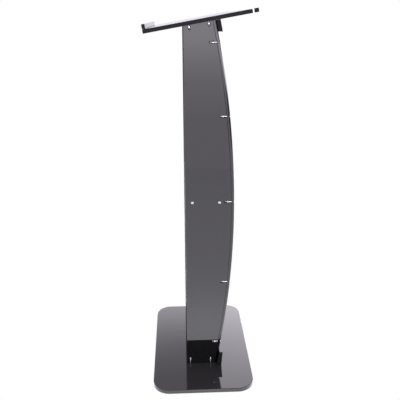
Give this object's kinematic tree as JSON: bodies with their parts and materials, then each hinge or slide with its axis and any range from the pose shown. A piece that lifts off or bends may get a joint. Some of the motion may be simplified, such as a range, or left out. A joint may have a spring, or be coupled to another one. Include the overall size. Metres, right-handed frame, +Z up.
{
  "type": "presentation lectern",
  "caption": "Free-standing lectern in gloss black acrylic: a sloping top with a book stop on an open-backed column with a bowed front and an inner shelf, on a rounded base plate.",
  "frame": {"origin": "on the floor under the middle of the base plate", "axes": "+Z up, +Y towards the speaker (the low side of the top, with the book stop), -Y towards the audience (the bowed front), X across the lectern"},
  "size_m": [0.6, 0.335, 1.1837],
  "materials": {
    "black_acrylic": "polished black acrylic sheet, mirror gloss on the faces, polished edges",
    "black_rubber": "matt moulded rubber",
    "bright_steel": "bright zinc plated steel fasteners",
    "bright_strip": "bright polished flat strip"
  },
  "bodies": {
    "root": {"base_plate": "black_acrylic", "rubber_pad_1": "black_rubber", "rubber_pad_2": "black_rubber", "rubber_pad_3": "black_rubber", "rubber_pad_4": "black_rubber", "side_panel_left": "black_acrylic", "side_panel_right": "black_acrylic", "front_panel": "black_acrylic", "shelf": "black_acrylic", "front_cleat_top": "black_acrylic", "front_cleat_bottom": "black_acrylic", "top_plate": "black_acrylic", "book_stop": "black_acrylic", "edge_bar": "black_acrylic", "edge_strip": "bright_strip", "front_bolt_left_1": "bright_steel", "front_nut_left_1": "bright_steel", "front_bolt_left_2": "bright_steel", "front_nut_left_2": "bright_steel", "front_bolt_left_3": "bright_steel", "front_nut_left_3": "bright_steel", "front_bolt_left_4": "bright_steel", "front_nut_left_4": "bright_steel", "front_bolt_left_5": "bright_steel", "front_nut_left_5": "bright_steel", "foot_bolt_left_1": "bright_steel", "foot_nut_left_1": "bright_steel", "foot_bolt_left_2": "bright_steel", "foot_nut_left_2": "bright_steel", "top_bolt_left_1": "bright_steel", "top_nut_left_1": "bright_steel", "top_bolt_left_2": "bright_steel", "top_nut_left_2": "bright_steel", "shelf_screw_left_1": "bright_steel", "shelf_screw_left_2": "bright_steel", "front_bolt_right_1": "bright_steel", "front_nut_right_1": "bright_steel", "front_bolt_right_2": "bright_steel", "front_nut_right_2": "bright_steel", "front_bolt_right_3": "bright_steel", "front_nut_right_3": "bright_steel", "front_bolt_right_4": "bright_steel", "front_nut_right_4": "bright_steel", "front_bolt_right_5": "bright_steel", "front_nut_right_5": "bright_steel", "foot_bolt_right_1": "bright_steel", "foot_nut_right_1": "bright_steel", "foot_bolt_right_2": "bright_steel", "foot_nut_right_2": "bright_steel", "top_bolt_right_1": "bright_steel", "top_nut_right_1": "bright_steel", "top_bolt_right_2": "bright_steel", "top_nut_right_2": "bright_steel", "shelf_screw_right_1": "bright_steel", "shelf_screw_right_2": "bright_steel"}
  },
  "joints": []
}
